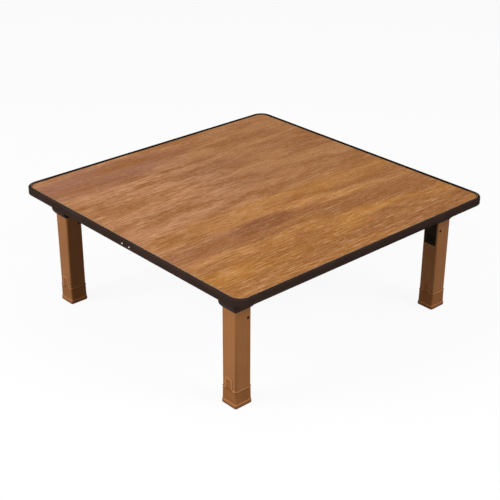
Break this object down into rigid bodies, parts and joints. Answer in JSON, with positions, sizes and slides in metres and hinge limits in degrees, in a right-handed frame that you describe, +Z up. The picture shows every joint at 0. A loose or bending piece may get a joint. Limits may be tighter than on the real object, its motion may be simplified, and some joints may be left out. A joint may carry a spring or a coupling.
{
  "type": "folding low table",
  "caption": "Square floor table with a wood-print board, dark plastic edging and square legs that fold under it.",
  "frame": {"origin": "on the floor, under the middle of the board", "axes": "+X along the front edge to the right, +Y from front to back, +Z up; the board's grain runs along X"},
  "size_m": [0.8009, 0.8, 0.31],
  "materials": {
    "wood_print": "satin printed wood grain",
    "particle_board": "raw pressed chips",
    "backing_sheet": "matt",
    "edging_plastic": "satin",
    "seat_plastic": "matt",
    "leg_brown": "satin",
    "latch_plastic": "matt",
    "steel": "zinc plated",
    "nail_steel": "bright"
  },
  "bodies": {
    "tabletop": {"core_board": "particle_board", "top_laminate": "wood_print", "under_laminate": "backing_sheet", "edge_band": "edging_plastic", "edge_nails": "nail_steel", "leg_seat_front_left": "seat_plastic", "seat_screws_front_left": "steel", "hinge_pin_front_left": "steel", "stop_pin_front_left": "steel", "leg_seat_front_right": "seat_plastic", "seat_screws_front_right": "steel", "hinge_pin_front_right": "steel", "stop_pin_front_right": "steel", "leg_seat_rear_left": "seat_plastic", "seat_screws_rear_left": "steel", "hinge_pin_rear_left": "steel", "stop_pin_rear_left": "steel", "leg_seat_rear_right": "seat_plastic", "seat_screws_rear_right": "steel", "hinge_pin_rear_right": "steel", "stop_pin_rear_right": "steel"},
    "leg_front_left": {"leg_tube_front_left": "leg_brown", "foot_cap_front_left": "leg_brown", "latch_pin_front_left": "steel", "latch_spring_front_left": "steel"},
    "latch_front_left": {"latch_lever_front_left": "latch_plastic", "latch_catch_front_left": "steel"},
    "leg_front_right": {"leg_tube_front_right": "leg_brown", "foot_cap_front_right": "leg_brown", "latch_pin_front_right": "steel", "latch_spring_front_right": "steel"},
    "latch_front_right": {"latch_lever_front_right": "latch_plastic", "latch_catch_front_right": "steel"},
    "leg_rear_left": {"leg_tube_rear_left": "leg_brown", "foot_cap_rear_left": "leg_brown", "latch_pin_rear_left": "steel", "latch_spring_rear_left": "steel"},
    "latch_rear_left": {"latch_lever_rear_left": "latch_plastic", "latch_catch_rear_left": "steel"},
    "leg_rear_right": {"leg_tube_rear_right": "leg_brown", "foot_cap_rear_right": "leg_brown", "latch_pin_rear_right": "steel", "latch_spring_rear_right": "steel"},
    "latch_rear_right": {"latch_lever_rear_right": "latch_plastic", "latch_catch_rear_right": "steel"}
  },
  "joints": [
    {"name": "fold_front_left", "type": "hinge", "parent": "tabletop", "child": "leg_front_left", "pos_m": [-0.3302, -0.3141, 0.2638], "axis": [0, -1, 0], "range_deg": [0, 90], "deforming": ["latch_catch_front_left"]},
    {"name": "press_front_left", "type": "hinge", "parent": "leg_front_left", "child": "latch_front_left", "pos_m": [-0.3168, -0.3141, 0.217], "axis": [0, 1, 0], "range_deg": [0, 7], "stiffness_Nm_per_rad": 0.5, "springref_deg": -5.73, "deforming": ["latch_spring_front_left"]},
    {"name": "fold_front_right", "type": "hinge", "parent": "tabletop", "child": "leg_front_right", "pos_m": [0.3302, -0.3141, 0.2638], "axis": [0, 1, 0], "range_deg": [0, 90], "deforming": ["latch_catch_front_right"]},
    {"name": "press_front_right", "type": "hinge", "parent": "leg_front_right", "child": "latch_front_right", "pos_m": [0.3168, -0.3141, 0.217], "axis": [0, -1, 0], "range_deg": [0, 7], "stiffness_Nm_per_rad": 0.5, "springref_deg": -5.73, "deforming": ["latch_spring_front_right"]},
    {"name": "fold_rear_left", "type": "hinge", "parent": "tabletop", "child": "leg_rear_left", "pos_m": [-0.3302, 0.3141, 0.2638], "axis": [0, -1, 0], "range_deg": [0, 90], "deforming": ["latch_catch_rear_left"]},
    {"name": "press_rear_left", "type": "hinge", "parent": "leg_rear_left", "child": "latch_rear_left", "pos_m": [-0.3168, 0.3141, 0.217], "axis": [0, 1, 0], "range_deg": [0, 7], "stiffness_Nm_per_rad": 0.5, "springref_deg": -5.73, "deforming": ["latch_spring_rear_left"]},
    {"name": "fold_rear_right", "type": "hinge", "parent": "tabletop", "child": "leg_rear_right", "pos_m": [0.3302, 0.3141, 0.2638], "axis": [0, 1, 0], "range_deg": [0, 90], "deforming": ["latch_catch_rear_right"]},
    {"name": "press_rear_right", "type": "hinge", "parent": "leg_rear_right", "child": "latch_rear_right", "pos_m": [0.3168, 0.3141, 0.217], "axis": [0, -1, 0], "range_deg": [0, 7], "stiffness_Nm_per_rad": 0.5, "springref_deg": -5.73, "deforming": ["latch_spring_rear_right"]}
  ]
}
